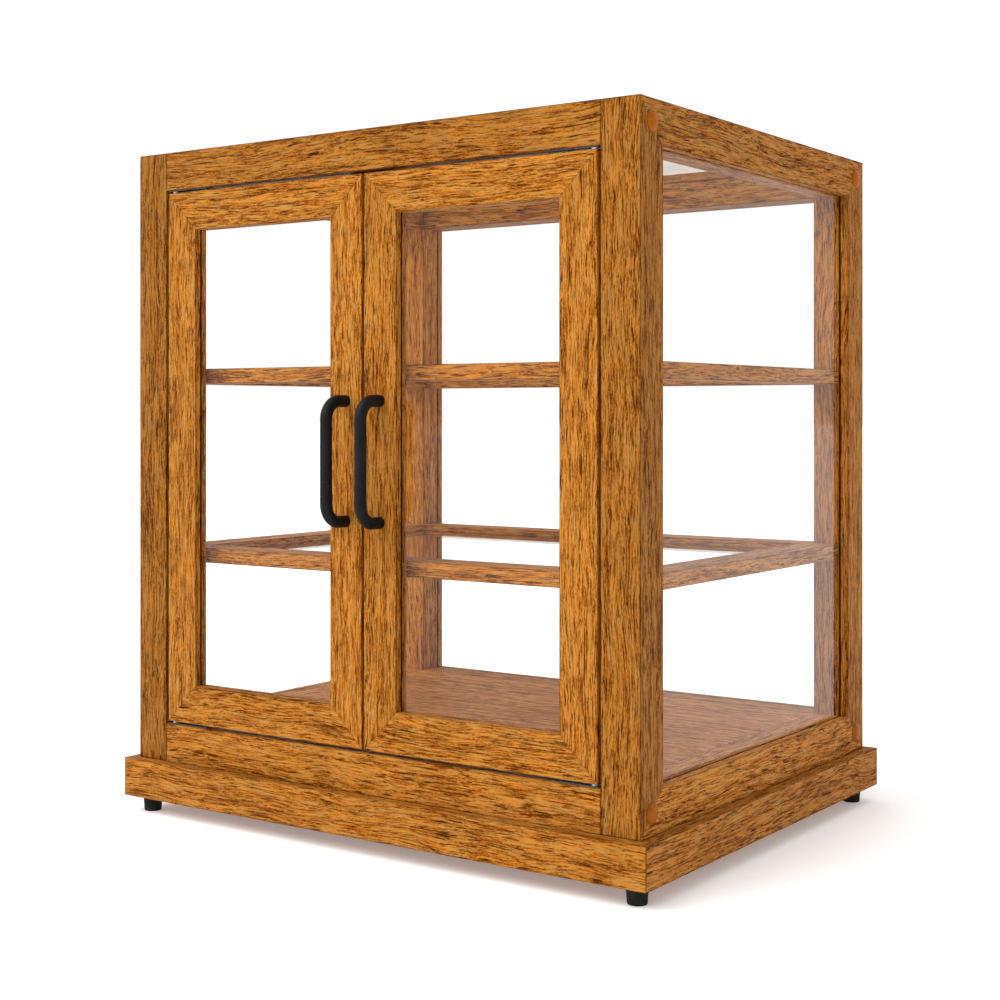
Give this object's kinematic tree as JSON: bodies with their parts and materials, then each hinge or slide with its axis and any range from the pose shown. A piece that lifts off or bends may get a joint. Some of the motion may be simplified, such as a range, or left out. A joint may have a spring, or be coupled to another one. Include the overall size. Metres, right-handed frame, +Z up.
{
  "type": "bakery display case",
  "caption": "Countertop bakery display case: a timber frame glazed on every side, with hinged front doors, pull handles and clear shelves, on a plinth with rubber feet.",
  "frame": {"origin": "middle of the case's outer box in plan, on the surface that the feet stand on", "axes": "+X across the doors to the right, +Y from the doors to the back, +Z up"},
  "size_m": [0.527, 0.4368, 0.575],
  "materials": {
    "oak": "satin oiled oak",
    "oak_door": "satin oiled oak",
    "oak_shelf": "satin oiled oak",
    "oak_plinth": "satin oiled oak",
    "oak_floor": "satin oiled oak",
    "clear_pane": "clear acrylic",
    "black_metal": "fine matte black powder coat",
    "cap_plastic": "glossy wood-coloured plastic",
    "foot_rubber": "black rubber",
    "hinge_steel": "dull steel",
    "steel": "zinc-plated steel",
    "dowel_wood": "plain beech",
    "catch_plastic": "brown plastic",
    "washer_plastic": "plain nylon"
  },
  "bodies": {
    "carcass": {"left_front_post": "oak", "left_back_post": "oak", "left_top_rail": "oak", "left_bottom_rail": "oak", "right_front_post": "oak", "right_back_post": "oak", "right_top_rail": "oak", "right_bottom_rail": "oak", "front_top_rail": "oak", "front_bottom_rail": "oak", "back_top_rail": "oak", "back_bottom_rail": "oak", "floor_panel": "oak_floor", "left_side_pane": "clear_pane", "right_side_pane": "clear_pane", "top_pane": "clear_pane", "back_pane": "clear_pane", "front_plinth_board": "oak_plinth", "back_plinth_board": "oak_plinth", "left_plinth_board": "oak_plinth", "right_plinth_board": "oak_plinth", "rubber_feet": "foot_rubber", "base_screws": "steel", "frame_screws": "steel", "screw_caps": "cap_plastic", "mitre_dowels": "dowel_wood", "lower_shelf_front": "oak_shelf", "lower_shelf_back": "oak_shelf", "lower_shelf_left": "oak_shelf", "lower_shelf_right": "oak_shelf", "lower_shelf_pane": "clear_pane", "upper_shelf_front": "oak_shelf", "upper_shelf_back": "oak_shelf", "upper_shelf_left": "oak_shelf", "upper_shelf_right": "oak_shelf", "upper_shelf_pane": "clear_pane", "shelf_dowels": "dowel_wood", "magnet_catch": "catch_plastic", "hinge_washers": "washer_plastic", "hinge_plate_screws": "steel", "left_hinge_plates": "hinge_steel", "right_hinge_plates": "hinge_steel"},
    "left_door": {"left_door_bottom_rail": "oak_door", "left_door_hinge_stile": "oak_door", "left_door_top_rail": "oak_door", "left_door_meeting_stile": "oak_door", "left_door_pane": "clear_pane", "left_handle": "black_metal", "left_door_screws": "steel", "left_hinge_leaves": "hinge_steel", "left_strike_plate": "steel"},
    "right_door": {"right_door_bottom_rail": "oak_door", "right_door_hinge_stile": "oak_door", "right_door_top_rail": "oak_door", "right_door_meeting_stile": "oak_door", "right_door_pane": "clear_pane", "right_handle": "black_metal", "right_door_screws": "steel", "right_hinge_leaves": "hinge_steel", "right_strike_plate": "steel"}
  },
  "joints": [
    {"name": "left_door_hinge", "type": "hinge", "parent": "carcass", "child": "left_door", "pos_m": [-0.2131, -0.1851, 0.311], "axis": [0, 0, -1], "range_deg": [0, 110]},
    {"name": "right_door_hinge", "type": "hinge", "parent": "carcass", "child": "right_door", "pos_m": [0.2131, -0.1851, 0.311], "axis": [0, 0, 1], "range_deg": [0, 110]}
  ]
}
